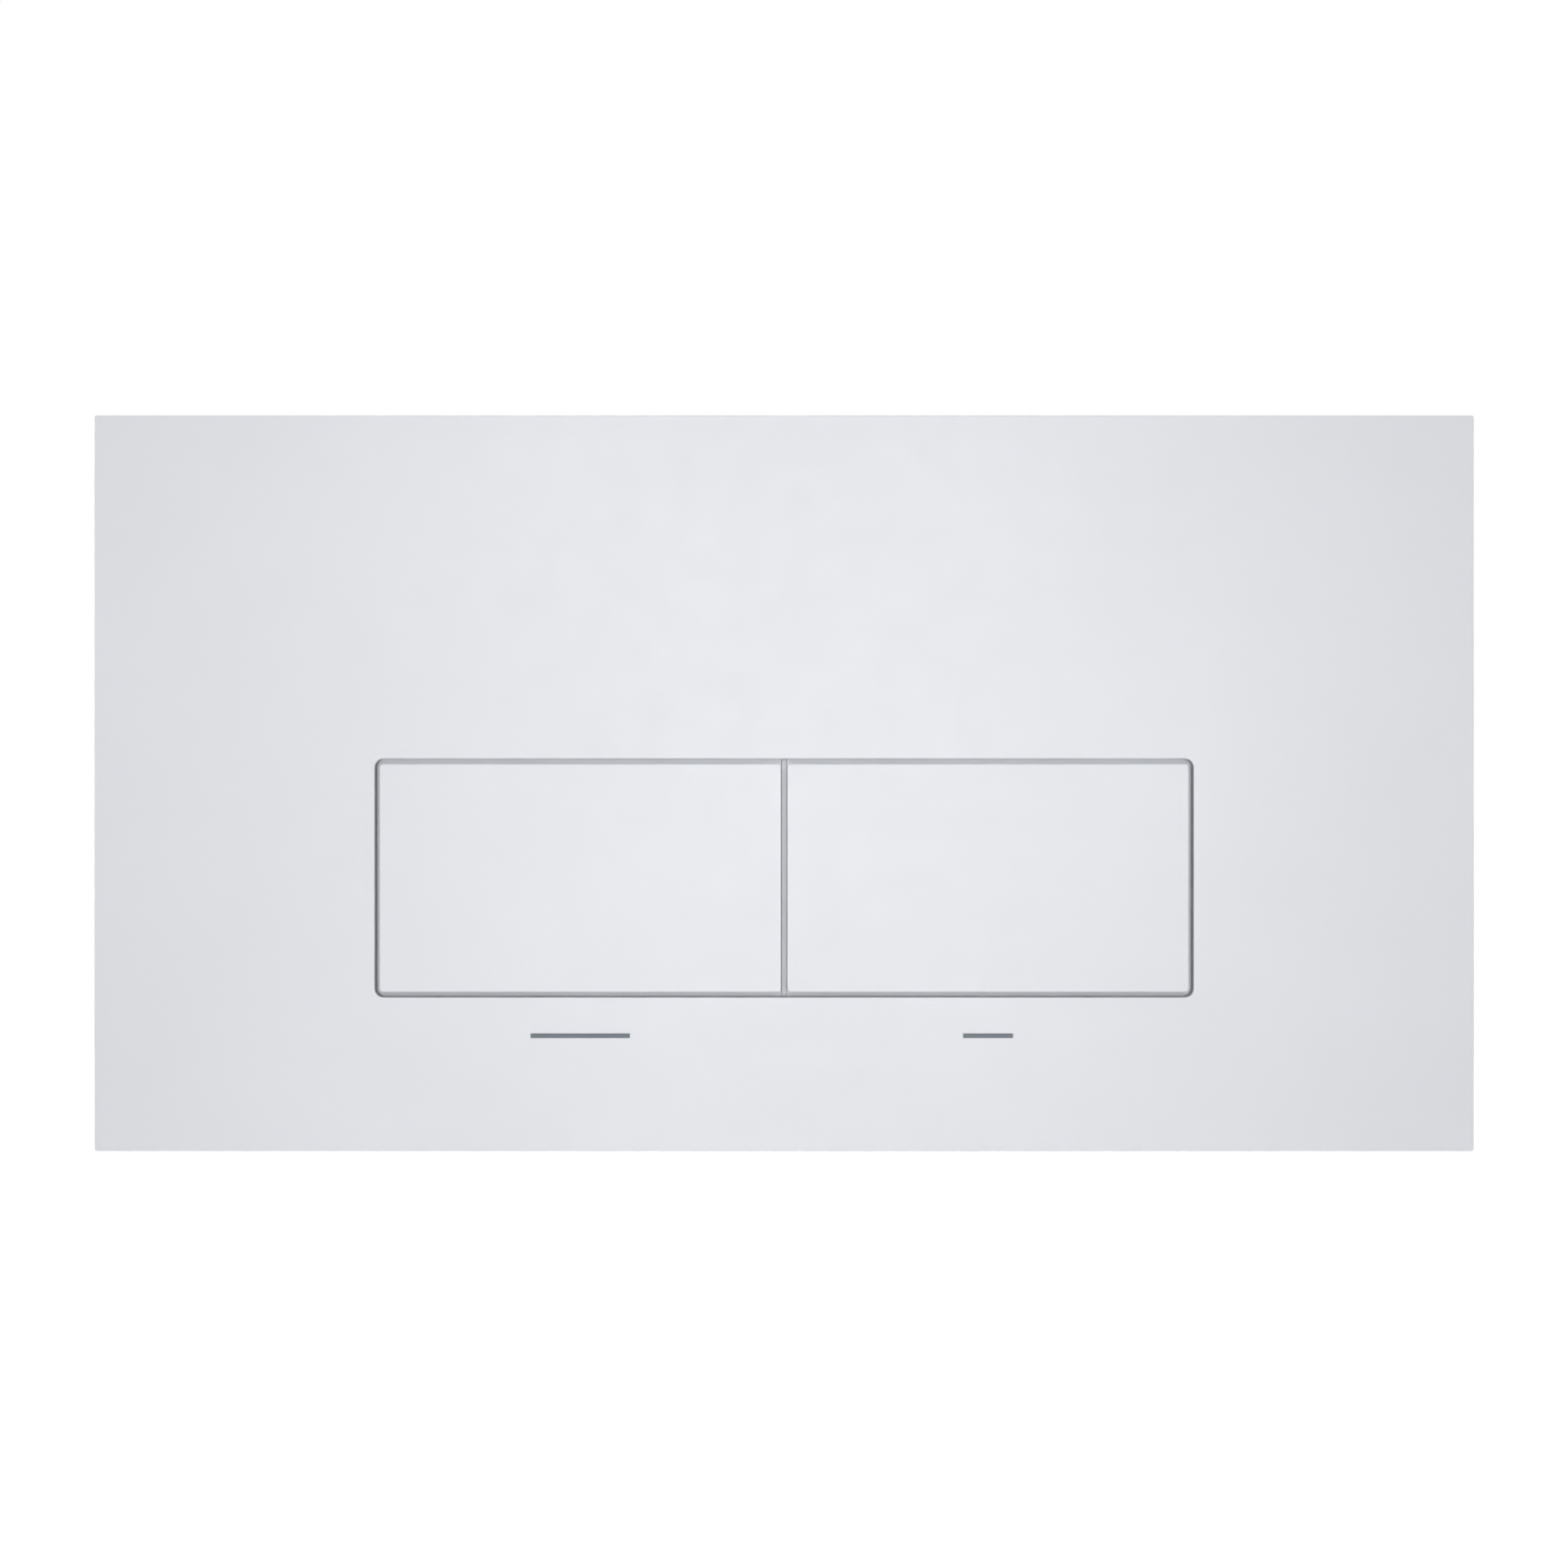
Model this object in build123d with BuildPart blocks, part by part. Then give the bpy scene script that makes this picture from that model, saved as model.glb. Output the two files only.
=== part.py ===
from build123d import *
import os
from math import cos, pi, radians, sin

# X runs to the right, Y into the wall and Z up, in millimetres
# The wall is the plane Y = 0, and the plate is centred on the origin

# Cover plate
plate_width = 300
plate_height = 160
plate_depth = 12
plate_corner = 0.5
skin = 2.5
skirt = 2
edge_round = 0.2
skirt_inner_corner = 1.5

# Window in the cover plate and the joints round the buttons
window_margin = 60.95
window_height = 51.9
window_drop = 20.6
window_corner = 1.9
side_gap = 1.0
end_gap = 1.15
centre_gap = 1.3
collar_wall = 2
gap_depth = 3.5
lip_seat_gap = 0.3

# Buttons
button_corner = 0.85
button_round = 0.2
button_depth = 9
button_skin = 2.5
button_wall = 2
lip_reach = 2.4
lip_thickness = 1.5
lip_room = 0.55
lip_end_room = 0.8
button_rib = 1.2
button_rib_height = 4.5
button_rib_spacing = 22
pad_radius = 9.5
pad_height = 2.5
pad_room = 1.0

# Hinges
lug_button_gap = 0.55
lug_lip_gap = 0.4
pin_radius = 1.5
pin_press_gap = 0.02
pin_running_gap = 0.05
eye_radius = 2.6
eye_width = 7.4
eye_inset = 9.7
lug_width = 3
lug_gap = 0.3
pin_overhang = 0.5
pin_chamfer = 0.3
press_angle = 8.8

# Push rods, caps, guides and springs
rod_radius = 4
rod_spacing = 60
rod_drop = 8
rod_reach = 70
rod_tip_chamfer = 1
rod_running_gap = 0.05
cap_gap = 0.15
cap_radius = 8
cap_dome = 30
cap_thickness = 2.85
cap_crown = 1.25
cap_end_room = 0.1
stem_radius = 5.6
stem_length = 4
spring_length = 10.5
spring_wire = 1
spring_radius = 6.6
spring_turns = 3.5
spring_steps = 14
spring_sides = 8
spring_end_gap = 0.1
guide_flange = 1.5
guide_flange_radius = 8
guide_radius = 6
guide_length = 10
guide_seat_gap = 0.05

# Stop pads
stop_radius = 3.8
stop_gap = 0.15
stop_inset = 7.7
stop_wall_gap = 0.4

# Button carrier
tray_wall = 2
tray_base = 2
tray_front_gap = 0.8
lug_top_room = 0.95
divider_gap = 0.1
carrier_flange = 2
carrier_flange_drop = 1
carrier_reach = 10.5
carrier_reach_end = 4
pin_access_radius = 2
drain_bar = 6
drain_height = 34
drain_corner = 2
tray_rib = 1.2
tray_rib_height = 1.5

# Mounting frame
frame_inset = 25
frame_inset_end = 14
frame_flange = 3
frame_wall = 2
frame_corner = 5
frame_front_gap = 1
opening_room = 1
opening_corner = 2
rim_wall = 1.5
rim_gap = 0.5
boss_radius = 4
service_margin = 33
service_bar = 12
service_height = 28
service_corner = 2
frame_rib = 1.5
frame_rib_gap = 0.3
side_rib_spacing = 48
arrow_radius = 3
arrow_depth = 0.6
arrow_inset = 5.5

# Snap hooks that hold the cover on the frame
hook_width = 12
hook_inset = 35
hook_arm = 1.8
hook_gap = 0.4
hook_bite = 1
hook_bite_end = 0.3
hook_nose_start = 4.1
hook_nose_length = 1.7
hook_tip = 0.8
hook_hold = 0.1
catch_room = 0.5
seat_length = 10
seat_width = 4
seat_spacing = 80

# Stiffening ribs in the cover
cover_rib = 1.2
cover_rib_height = 5
cover_rib_reach = 3.2
cover_rib_columns = 9
cover_rib_rows = 5
cover_rib_inset = 24

# Screws
screw_radius = 1.45
screw_head_radius = 2.8
screw_head_height = 1.6
screw_head_round = 0.5
screw_length = 6
screw_reach = 6
screw_inset = 8
screw_gap = 0.05
cross_width = 0.7
cross_length = 3
cross_depth = 0.9
pilot_floor = 0.5

# Fixing studs and nuts
stud_radius = 3
stud_neck_radius = 2.6
stud_cover_room = 1
stud_front_thread = 20
stud_neck = 38
stud_rear_thread = 26
stud_chamfer = 0.6
stud_slot_gap = 0.25
stud_slot_length = 14
nut_radius = 7.5
nut_height = 5
nut_shoulder_radius = 5.6
nut_shoulder = 1.5
nut_grooves = 18
nut_groove_radius = 0.7
nut_thread_gap = 0.05
nut_chamfer = 0.4

# Flush marks under the buttons
full_mark_length = 21.6
half_mark_length = 10.85
mark_width = 1.0
mark_depth = 0.3
mark_gap = 0.02
mark_drop = 8.35

# Depths, counted from the wall towards the front as negative Y
face_y = -plate_depth
skin_back_y = face_y + skin
lip_front_y = face_y + gap_depth
lip_back_y = lip_front_y + lip_thickness
collar_back_y = lip_front_y - lip_seat_gap
button_back_y = face_y + button_depth
button_skin_back_y = face_y + button_skin
pad_y = button_skin_back_y + pad_height
pivot_y = lip_back_y + lug_lip_gap + eye_radius
cap_tip_y = pad_y + cap_gap
cap_seat_y = cap_tip_y + cap_thickness
guide_front_y = cap_seat_y + spring_length
base_front_y = guide_front_y + guide_flange
base_back_y = base_front_y + tray_base
tray_front_y = collar_back_y + tray_front_gap
carrier_flange_front_y = tray_front_y + carrier_flange_drop
carrier_flange_back_y = carrier_flange_front_y + carrier_flange
frame_front_y = skin_back_y + frame_front_gap
flange_front_y = -frame_flange

# Positions and sizes that follow from the window
window_width = plate_width - 2 * window_margin
window_z = -window_drop
button_width = (window_width - 2 * side_gap - centre_gap) / 2
button_height = window_height - 2 * end_gap
button_x = (button_width + centre_gap) / 2
button_top = window_z + button_height / 2
button_bottom = window_z - button_height / 2
pivot_z = button_top + lug_button_gap + eye_radius
eye_offset = button_width / 2 - eye_inset
lug_offset = eye_width / 2 + lug_gap + lug_width / 2
pin_length = 2 * (eye_offset + lug_offset) + lug_width + 2 * pin_overhang
rod_x = rod_spacing / 2
rod_z = window_z - rod_drop

# Tray of the carrier, the frame's opening and the fixings round it
tray_inner_half = button_x + button_width / 2 + lip_reach + lip_room
tray_inner_top = pivot_z + eye_radius + lug_top_room
tray_inner_bottom = button_bottom - lip_reach - lip_end_room
tray_inner_width = 2 * tray_inner_half
tray_inner_height = tray_inner_top - tray_inner_bottom
tray_width = tray_inner_width + 2 * tray_wall
tray_height = tray_inner_height + 2 * tray_wall
tray_z = (tray_inner_top + tray_inner_bottom) / 2
carrier_width = tray_width + 2 * carrier_reach
carrier_height = tray_height + 2 * carrier_reach_end
divider = centre_gap - 2 * divider_gap
opening_width = tray_width + 2 * opening_room
opening_height = tray_height + 2 * opening_room
frame_width = plate_width - 2 * frame_inset
frame_height = plate_height - 2 * frame_inset_end
frame_inner_width = frame_width - 2 * frame_wall
frame_inner_height = frame_height - 2 * frame_wall
screw_x = tray_width / 2 + screw_reach
screw_rise = tray_height / 2 - screw_inset
stud_x = (carrier_width / 2 + frame_inner_width / 2) / 2
opening_top = tray_z + opening_height / 2
service_z = (opening_top + frame_inner_height / 2) / 2
mark_z = window_z - window_height / 2 - mark_drop
service_spacing = (frame_inner_width - 2 * service_margin) / 3
service_width = service_spacing - service_bar
hook_spacing = frame_width / 2 - hook_inset

# How far the button's rear edge comes in when it is pressed fully
edge_arm = pivot_z - button_bottom
edge_lever = button_back_y - pivot_y
pressed_edge_y = pivot_y + edge_lever * cos(radians(press_angle)) + edge_arm * sin(radians(press_angle))
stop_front_y = pressed_edge_y + stop_gap

os.makedirs("parts", exist_ok=True)


def at_y(y):
    # A sketch plane facing the room, on which extrude goes towards the front
    return Plane.XZ.offset(-y)


def along_rod(side):
    # The axis of one push rod
    return Axis((side * rod_x, 0, rod_z), (0, 1, 0))


# Cover plate: one white moulding with a skirt, a window collar, ribs and snap hooks
with BuildPart() as cover_plate:
    with BuildSketch(at_y(0)):
        RectangleRounded(plate_width, plate_height, plate_corner)
    extrude(amount=plate_depth)
    fillet(cover_plate.faces().sort_by(Axis.Y)[0].edges(), edge_round)
    with BuildSketch(at_y(0)):
        RectangleRounded(plate_width - 2 * skirt, plate_height - 2 * skirt, skirt_inner_corner)
    extrude(amount=plate_depth - skin, mode=Mode.SUBTRACT)

    # Collar round the window, which is also the front stop of the buttons
    with BuildSketch(at_y(collar_back_y)):
        with Locations((0, window_z)):
            RectangleRounded(
                window_width + 2 * collar_wall,
                window_height + 2 * collar_wall,
                window_corner + collar_wall,
            )
    extrude(amount=collar_back_y - skin_back_y)
    with BuildSketch(at_y(collar_back_y)):
        with Locations((0, window_z)):
            RectangleRounded(window_width, window_height, window_corner)
    extrude(amount=collar_back_y - face_y, mode=Mode.SUBTRACT)
    window_edges = cover_plate.faces().sort_by(Axis.Y)[0].inner_wires()[0].edges()
    fillet(window_edges, edge_round)

    # Shallow pockets for the two flush marks
    with BuildSketch(at_y(face_y + mark_depth)):
        with Locations((-button_x, mark_z)):
            Rectangle(full_mark_length + 2 * mark_gap, mark_width + 2 * mark_gap)
        with Locations((button_x, mark_z)):
            Rectangle(half_mark_length + 2 * mark_gap, mark_width + 2 * mark_gap)
    extrude(amount=mark_depth, mode=Mode.SUBTRACT)

    # Stiffening ribs from the skirt to the back of the face
    rib_x = plate_width / 2 - skirt - cover_rib_reach / 2
    rib_z = plate_height / 2 - skirt - cover_rib_reach / 2
    column_pitch = (plate_width - 2 * cover_rib_inset) / (cover_rib_columns - 1)
    row_pitch = (plate_height - 2 * cover_rib_inset) / (cover_rib_rows - 1)
    with BuildSketch(at_y(skin_back_y + cover_rib_height)):
        for side in (-1, 1):
            with Locations((0, side * rib_z)):
                with GridLocations(column_pitch, 1, cover_rib_columns, 1):
                    Rectangle(cover_rib, cover_rib_reach)
            with Locations((side * rib_x, 0)):
                with GridLocations(1, row_pitch, 1, cover_rib_rows):
                    Rectangle(cover_rib_reach, cover_rib)
    extrude(amount=cover_rib_height)

    # Seat pads that rest on the side walls of the frame
    with BuildSketch(at_y(frame_front_y)):
        with GridLocations(frame_width - frame_wall, seat_spacing, 2, 2):
            Rectangle(seat_width, seat_length)
    extrude(amount=frame_front_gap)

    # Snap hooks along the top and the bottom
    arm_in = frame_height / 2 + hook_gap
    nose_y = skin_back_y + hook_nose_start
    nose_end_y = nose_y + hook_nose_length
    tip_y = nose_end_y + hook_tip
    for column in (-1, 0, 1):
        for side in (-1, 1):
            with BuildSketch(Plane.YZ.offset(column * hook_spacing)):
                with BuildLine():
                    Polyline(
                        (skin_back_y, side * arm_in),
                        (nose_y, side * arm_in),
                        (nose_y, side * (arm_in - hook_gap - hook_bite)),
                        (nose_end_y, side * (arm_in - hook_gap - hook_bite_end)),
                        (tip_y, side * arm_in),
                        (tip_y, side * (arm_in + hook_arm / 2)),
                        (nose_y, side * (arm_in + hook_arm)),
                        (skin_back_y, side * (arm_in + hook_arm)),
                        close=True,
                    )
                make_face()
            extrude(amount=hook_width / 2, both=True)
cover_plate.part.label = "cover_plate"
export_step(cover_plate.part, "parts/cover_plate.step")


# Mounting frame: it lies on the wall, and carries the cover and the button carrier
with BuildPart() as mounting_frame:
    with BuildSketch(at_y(0)):
        RectangleRounded(frame_width, frame_height, frame_corner)
    extrude(amount=-frame_front_y)
    with BuildSketch(at_y(flange_front_y)):
        RectangleRounded(frame_inner_width, frame_inner_height, frame_corner - frame_wall)
    extrude(amount=flange_front_y - frame_front_y, mode=Mode.SUBTRACT)

    # Ribs between the service openings, and out to the side walls
    rib_in_x = (opening_width + rim_wall) / 2
    rib_out_x = (frame_inner_width + frame_wall) / 2
    rib_low_z = opening_top + rim_wall / 2
    rib_high_z = (frame_inner_height + frame_wall) / 2
    with BuildSketch(at_y(flange_front_y)):
        with Locations((0, (rib_high_z + rib_low_z) / 2)):
            with GridLocations(service_spacing, 1, 2, 1):
                Rectangle(frame_rib, rib_high_z - rib_low_z)
        for side in (-1, 1):
            with Locations((side * (rib_out_x + rib_in_x) / 2, 0)):
                with GridLocations(1, side_rib_spacing, 1, 2):
                    Rectangle(rib_out_x - rib_in_x, frame_rib)
    extrude(amount=flange_front_y - carrier_flange_back_y - frame_rib_gap)

    # Bosses for the carrier's screws
    with BuildSketch(at_y(flange_front_y)):
        with Locations((0, tray_z)):
            with GridLocations(2 * screw_x, 2 * screw_rise, 2, 2):
                Circle(boss_radius)
    extrude(amount=flange_front_y - carrier_flange_back_y)

    # Rim round the opening that the carrier's tray goes into
    with BuildSketch(at_y(flange_front_y)):
        with Locations((0, tray_z)):
            RectangleRounded(
                opening_width + 2 * rim_wall, opening_height + 2 * rim_wall, opening_corner + rim_wall
            )
    extrude(amount=flange_front_y - carrier_flange_back_y - rim_gap)
    with BuildSketch(at_y(0)):
        with Locations((0, tray_z)):
            RectangleRounded(opening_width, opening_height, opening_corner)
    extrude(amount=-frame_front_y, mode=Mode.SUBTRACT)

    # Service openings, slots for the studs and pilot holes for the screws
    with BuildSketch(at_y(0)):
        with Locations((0, service_z)):
            with GridLocations(service_spacing, 1, 3, 1):
                RectangleRounded(service_width, service_height, service_corner)
        with GridLocations(2 * stud_x, 1, 2, 1):
            SlotOverall(stud_slot_length, 2 * (stud_radius + stud_slot_gap))
    extrude(amount=frame_flange, mode=Mode.SUBTRACT)
    with BuildSketch(at_y(-pilot_floor)):
        with Locations((0, tray_z)):
            with GridLocations(2 * screw_x, 2 * screw_rise, 2, 2):
                Circle(screw_radius + screw_gap)
    extrude(amount=-carrier_flange_back_y, mode=Mode.SUBTRACT)

    # Catch windows for the cover's hooks
    catch_front_y = nose_y - hook_hold
    catch_back_y = nose_end_y + catch_room
    with BuildSketch(at_y(catch_back_y)):
        with GridLocations(hook_spacing, frame_height - frame_wall, 3, 2):
            Rectangle(hook_width + 2 * catch_room, 2 * frame_wall)
    extrude(amount=catch_back_y - catch_front_y, mode=Mode.SUBTRACT)

    # Arrow that shows which way is up
    with BuildSketch(at_y(flange_front_y + arrow_depth)):
        with Locations((0, frame_inner_height / 2 - arrow_inset)):
            RegularPolygon(arrow_radius, 3, rotation=90)
    extrude(amount=arrow_depth, mode=Mode.SUBTRACT)
mounting_frame.part.label = "mounting_frame"
export_step(mounting_frame.part, "parts/mounting_frame.step")


# Button carrier: a tray with bearing lugs, a divider and a base that holds the rod guides
with BuildPart() as button_carrier:
    with BuildSketch(at_y(base_back_y)):
        with Locations((0, tray_z)):
            RectangleRounded(tray_width, tray_height, tray_wall)
    extrude(amount=base_back_y - tray_front_y)
    with BuildSketch(at_y(carrier_flange_back_y)):
        with Locations((0, tray_z)):
            RectangleRounded(carrier_width, carrier_height, boss_radius)
    extrude(amount=carrier_flange)
    with BuildSketch(at_y(base_front_y)):
        with Locations((0, tray_z)):
            Rectangle(tray_inner_width, tray_inner_height)
    extrude(amount=base_front_y - tray_front_y, mode=Mode.SUBTRACT)

    # The divider shows as the floor of the gap between the buttons
    with BuildSketch(at_y(base_front_y)):
        with Locations((0, tray_z)):
            Rectangle(divider, tray_inner_height)
    extrude(amount=base_front_y - lip_front_y)

    # Bearing lugs, a pair at each eye of each button
    for side in (-1, 1):
        for end in (-1, 1):
            for flank in (-1, 1):
                lug_x = side * button_x + end * eye_offset + flank * lug_offset
                with BuildSketch(Plane.YZ.offset(lug_x)):
                    with Locations((pivot_y, pivot_z)):
                        Circle(eye_radius)
                        Rectangle(
                            2 * eye_radius,
                            tray_inner_top - pivot_z,
                            align=(Align.CENTER, Align.MIN),
                        )
                extrude(amount=lug_width / 2, both=True)

    # Pin holes through the lugs, and wider access holes in the side walls
    for side in (-1, 1):
        with BuildSketch(Plane.YZ.offset(side * button_x)):
            with Locations((pivot_y, pivot_z)):
                Circle(pin_radius + pin_press_gap)
        extrude(amount=pin_length / 2 + pin_overhang, both=True, mode=Mode.SUBTRACT)
        with BuildSketch(Plane.YZ.offset(side * tray_inner_half)):
            with Locations((pivot_y, pivot_z)):
                Circle(pin_access_radius)
        extrude(amount=side * 2 * tray_wall, mode=Mode.SUBTRACT)

    # Holes in the base for the guides, and drain windows between them and the side walls
    drain_start = rod_x + guide_flange_radius + drain_bar
    drain_end = tray_inner_half - drain_bar
    drain_width = (drain_end - drain_start - drain_bar) / 2
    with BuildSketch(at_y(base_back_y)):
        with Locations((0, rod_z)):
            with GridLocations(rod_spacing, 1, 2, 1):
                Circle(guide_radius + guide_seat_gap)
        for side in (-1, 1):
            with Locations((side * (drain_start + drain_end) / 2, window_z)):
                with GridLocations(drain_width + drain_bar, 1, 2, 1):
                    RectangleRounded(drain_width, drain_height, drain_corner)
    extrude(amount=tray_base, mode=Mode.SUBTRACT)

    # Stiffening ribs on the back of the base, round the drain windows and down the middle
    rib_rise = drain_height + drain_bar
    with BuildSketch(at_y(base_back_y + tray_rib_height)):
        with Locations((0, window_z)):
            Rectangle(tray_rib, rib_rise)
            with GridLocations(1, rib_rise, 1, 2):
                Rectangle(2 * drain_end + drain_bar, tray_rib)
        for side in (-1, 1):
            with Locations((side * (drain_start + drain_end) / 2, window_z)):
                with GridLocations(drain_width + drain_bar, 1, 3, 1):
                    Rectangle(tray_rib, rib_rise + tray_rib)
    extrude(amount=tray_rib_height + tray_base / 2)

    # Screw holes in the flange
    with BuildSketch(at_y(carrier_flange_back_y)):
        with Locations((0, tray_z)):
            with GridLocations(2 * screw_x, 2 * screw_rise, 2, 2):
                Circle(screw_radius + screw_gap)
    extrude(amount=carrier_flange, mode=Mode.SUBTRACT)
button_carrier.part.label = "button_carrier"
export_step(button_carrier.part, "parts/button_carrier.step")


# Screws that hold the carrier on the frame
with BuildPart() as carrier_screws:
    with BuildSketch(at_y(carrier_flange_front_y)):
        with Locations((0, tray_z)):
            with GridLocations(2 * screw_x, 2 * screw_rise, 2, 2):
                Circle(screw_head_radius)
    extrude(amount=screw_head_height)
    head_y = carrier_flange_front_y - screw_head_height
    head_edges = carrier_screws.edges().filter_by_position(Axis.Y, head_y, head_y)
    chamfer(head_edges, screw_head_round)
    with BuildSketch(at_y(carrier_flange_front_y + screw_length)):
        with Locations((0, tray_z)):
            with GridLocations(2 * screw_x, 2 * screw_rise, 2, 2):
                Circle(screw_radius)
    extrude(amount=screw_length)
    with BuildSketch(at_y(head_y + cross_depth)):
        with Locations((0, tray_z)):
            with GridLocations(2 * screw_x, 2 * screw_rise, 2, 2):
                Rectangle(cross_width, cross_length)
                Rectangle(cross_length, cross_width)
    extrude(amount=cross_depth, mode=Mode.SUBTRACT)
carrier_screws.part.label = "carrier_screws"
export_step(carrier_screws.part, "parts/carrier_screws.step")


# Rubber pads on the base that end the travel of the buttons
with BuildPart() as stop_pads:
    with BuildSketch(at_y(base_front_y)):
        for side in (-1, 1):
            with Locations((side * button_x, tray_inner_bottom + stop_wall_gap + stop_radius)):
                with GridLocations(button_width - 2 * stop_inset, 1, 2, 1):
                    Circle(stop_radius)
    extrude(amount=base_front_y - stop_front_y)
stop_pads.part.label = "stop_pads"
export_step(stop_pads.part, "parts/stop_pads.step")


# The two buttons are mirror images: the left one is the full flush
for side, label in ((-1, "full_flush_button"), (1, "half_flush_button")):
    with BuildPart() as button:
        with BuildSketch(at_y(button_back_y)):
            with Locations((side * button_x, window_z)):
                RectangleRounded(button_width, button_height, button_corner)
        extrude(amount=button_depth)
        fillet(button.faces().sort_by(Axis.Y)[0].edges(), button_round)

        # Lips on the three outer sides stop against the collar and close the gap
        with BuildSketch(at_y(lip_back_y)):
            with Locations((side * (button_x + lip_reach / 2), window_z)):
                Rectangle(button_width + lip_reach, button_height + 2 * lip_reach)
        extrude(amount=lip_thickness)
        with BuildSketch(at_y(button_back_y)):
            with Locations((side * button_x, window_z)):
                Rectangle(button_width - 2 * button_wall, button_height - 2 * button_wall)
        extrude(amount=button_back_y - button_skin_back_y, mode=Mode.SUBTRACT)

        # Ribs behind the face, cut away round the pad that the rod's cap presses on
        with BuildSketch(at_y(button_skin_back_y + button_rib_height)):
            with Locations((side * button_x, window_z)):
                with GridLocations(button_rib_spacing, 1, 3, 1):
                    Rectangle(button_rib, button_height - button_wall)
                Rectangle(button_width - button_wall, button_rib)
        extrude(amount=button_rib_height)
        with BuildSketch(at_y(button_skin_back_y + button_rib_height)):
            with Locations((side * rod_x, rod_z)):
                Circle(pad_radius + pad_room)
        extrude(amount=button_rib_height, mode=Mode.SUBTRACT)
        with BuildSketch(at_y(pad_y)):
            with Locations((side * rod_x, rod_z)):
                Circle(pad_radius)
        extrude(amount=pad_height)

        # Hinge eyes on top of the button
        for end in (-1, 1):
            with BuildSketch(Plane.YZ.offset(side * button_x + end * eye_offset)):
                with Locations((pivot_y, pivot_z)):
                    Circle(eye_radius)
                    Rectangle(
                        2 * eye_radius,
                        pivot_z - button_top + button_wall,
                        align=(Align.CENTER, Align.MAX),
                    )
            extrude(amount=eye_width / 2, both=True)
        with BuildSketch(Plane.YZ.offset(side * button_x)):
            with Locations((pivot_y, pivot_z)):
                Circle(pin_radius + pin_running_gap)
        extrude(amount=button_width / 2, both=True, mode=Mode.SUBTRACT)
    button.part.label = label
    export_step(button.part, f"parts/{label}.step")


# Hinge pins, guides, push rods, caps and springs come in pairs
for side, name in ((-1, "left"), (1, "right")):
    with BuildPart() as hinge_pin:
        with BuildSketch(Plane.YZ.offset(side * button_x)):
            with Locations((pivot_y, pivot_z)):
                Circle(pin_radius)
        extrude(amount=pin_length / 2, both=True)
        chamfer(hinge_pin.edges().filter_by(GeomType.CIRCLE), pin_chamfer)
    hinge_pin.part.label = f"hinge_pin_{name}"
    export_step(hinge_pin.part, f"parts/hinge_pin_{name}.step")

    with BuildPart() as rod_guide:
        with BuildSketch(at_y(base_front_y)):
            with Locations((side * rod_x, rod_z)):
                Circle(guide_flange_radius)
        extrude(amount=guide_flange)
        with BuildSketch(at_y(base_front_y + guide_length)):
            with Locations((side * rod_x, rod_z)):
                Circle(guide_radius)
        extrude(amount=guide_length)
        with BuildSketch(at_y(base_front_y + guide_length)):
            with Locations((side * rod_x, rod_z)):
                Circle(rod_radius + rod_running_gap)
        extrude(amount=guide_length + guide_flange, mode=Mode.SUBTRACT)
    rod_guide.part.label = f"rod_guide_{name}"
    export_step(rod_guide.part, f"parts/rod_guide_{name}.step")

    with BuildPart() as push_rod:
        rod_front_y = cap_tip_y + cap_crown + cap_end_room
        with BuildSketch(at_y(rod_reach)):
            with Locations((side * rod_x, rod_z)):
                Circle(rod_radius)
        extrude(amount=rod_reach - rod_front_y)
        rod_end = push_rod.faces().sort_by(Axis.Y)[-1]
        chamfer(rod_end.edges(), rod_tip_chamfer)
    push_rod.part.label = f"push_rod_{name}"
    export_step(push_rod.part, f"parts/push_rod_{name}.step")

    with BuildPart() as rod_cap:
        rim_y = cap_tip_y + cap_dome - (cap_dome**2 - cap_radius**2) ** 0.5
        mid_y = cap_tip_y + cap_dome - (cap_dome**2 - cap_radius**2 / 4) ** 0.5
        socket_y = cap_tip_y + cap_crown
        stem_y = cap_seat_y + stem_length
        bore = rod_radius + rod_running_gap
        axis_x = side * rod_x
        with BuildSketch(Plane.XY.offset(rod_z)):
            with BuildLine():
                ThreePointArc(
                    (axis_x, cap_tip_y), (axis_x + cap_radius / 2, mid_y), (axis_x + cap_radius, rim_y)
                )
                Polyline(
                    (axis_x + cap_radius, rim_y),
                    (axis_x + cap_radius, cap_seat_y),
                    (axis_x + stem_radius, cap_seat_y),
                    (axis_x + stem_radius, stem_y),
                    (axis_x + bore, stem_y),
                    (axis_x + bore, socket_y),
                    (axis_x, socket_y),
                    (axis_x, cap_tip_y),
                )
            make_face()
        revolve(axis=along_rod(side))
    rod_cap.part.label = f"rod_cap_{name}"
    export_step(rod_cap.part, f"parts/rod_cap_{name}.step")

    with BuildPart() as return_spring:
        coil_start_y = cap_seat_y + spring_wire / 2 + spring_end_gap
        coil_height = spring_length - spring_wire - 2 * spring_end_gap
        coil_steps = round(spring_turns * spring_steps)
        coil_points = []
        for step in range(coil_steps + 1):
            turn = 2 * pi * step / spring_steps
            coil_points.append(
                (
                    side * rod_x + spring_radius * cos(turn),
                    coil_start_y + coil_height * step / coil_steps,
                    rod_z + spring_radius * sin(turn),
                )
            )
        with BuildLine() as coil:
            Polyline(*coil_points)
        with BuildSketch(Plane(origin=coil.line @ 0, z_dir=coil.line % 0)):
            RegularPolygon(spring_wire / 2, spring_sides)
        sweep(transition=Transition.RIGHT)
    return_spring.part.label = f"return_spring_{name}"
    export_step(return_spring.part, f"parts/return_spring_{name}.step")


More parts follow.
